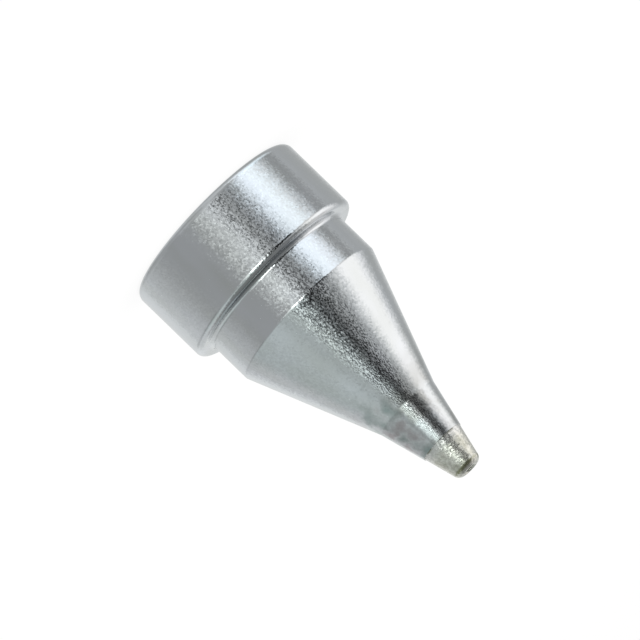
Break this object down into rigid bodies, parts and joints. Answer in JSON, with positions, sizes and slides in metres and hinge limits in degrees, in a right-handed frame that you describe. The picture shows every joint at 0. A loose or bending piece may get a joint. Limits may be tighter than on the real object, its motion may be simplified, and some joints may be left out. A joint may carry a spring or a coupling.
{
  "type": "desoldering nozzle",
  "caption": "Turned conical nozzle with a wide socketed collar, a plain boss, a taper that slims to a nose and a tinned tip with a fine bore right through.",
  "frame": {"origin": "centre of the rear rim, on the plane that the nozzle stands on", "axes": "+Z along the bore, from the rear rim to the tip"},
  "size_m": [0.0125, 0.0124, 0.0213],
  "materials": {
    "chrome_plate": "satin"
  },
  "bodies": {
    "root": {"nozzle_body": "chrome_plate"}
  },
  "joints": []
}
